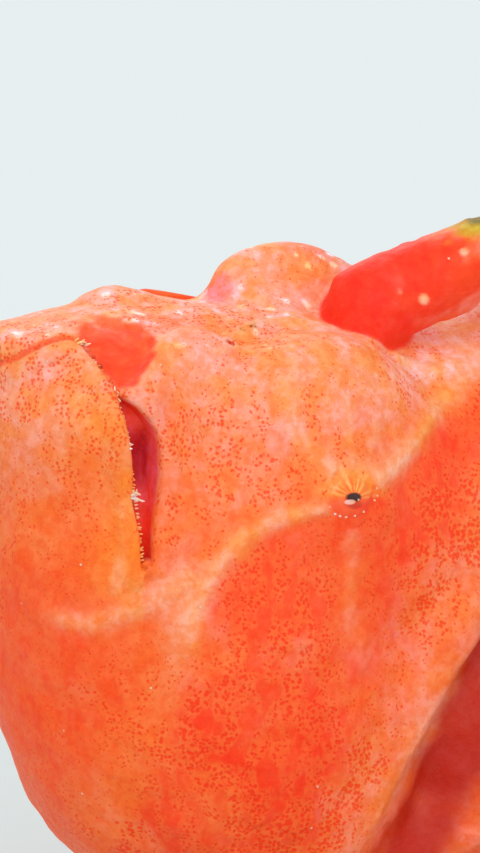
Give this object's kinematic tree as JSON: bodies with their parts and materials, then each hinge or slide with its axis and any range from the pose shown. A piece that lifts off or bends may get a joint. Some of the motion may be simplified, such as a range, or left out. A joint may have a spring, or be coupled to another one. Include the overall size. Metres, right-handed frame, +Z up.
{
  "type": "giant frogfish",
  "caption": "Life-size still model of a stout orange frogfish that stands on its hand-like fins, with an upturned mouth, a fleshy hump and a thick back spine.",
  "frame": {"origin": "on the floor, under the middle of the fish's length and width", "axes": "+Z up, -X towards the mouth, -Y towards the fish's left side"},
  "size_m": [0.2527, 0.166, 0.1452],
  "materials": {
    "skin": "satin, moist-looking skin",
    "fin": "satin, moist-looking skin",
    "eye": "clear and wet",
    "lure": "soft and pale"
  },
  "bodies": {
    "root": {"head": "skin", "torso": "skin", "caudal_peduncle": "skin", "lower_jaw": "skin", "second_dorsal_spine": "skin", "third_dorsal_spine": "skin", "left_arm": "skin", "right_arm": "skin", "left_leg": "skin", "right_leg": "skin", "left_eye": "eye", "right_eye": "eye", "dorsal_fin": "fin", "anal_fin": "fin", "caudal_fin": "fin", "left_hand": "fin", "right_hand": "fin", "left_foot": "fin", "right_foot": "fin", "illicium": "skin", "esca": "lure"}
  },
  "joints": []
}
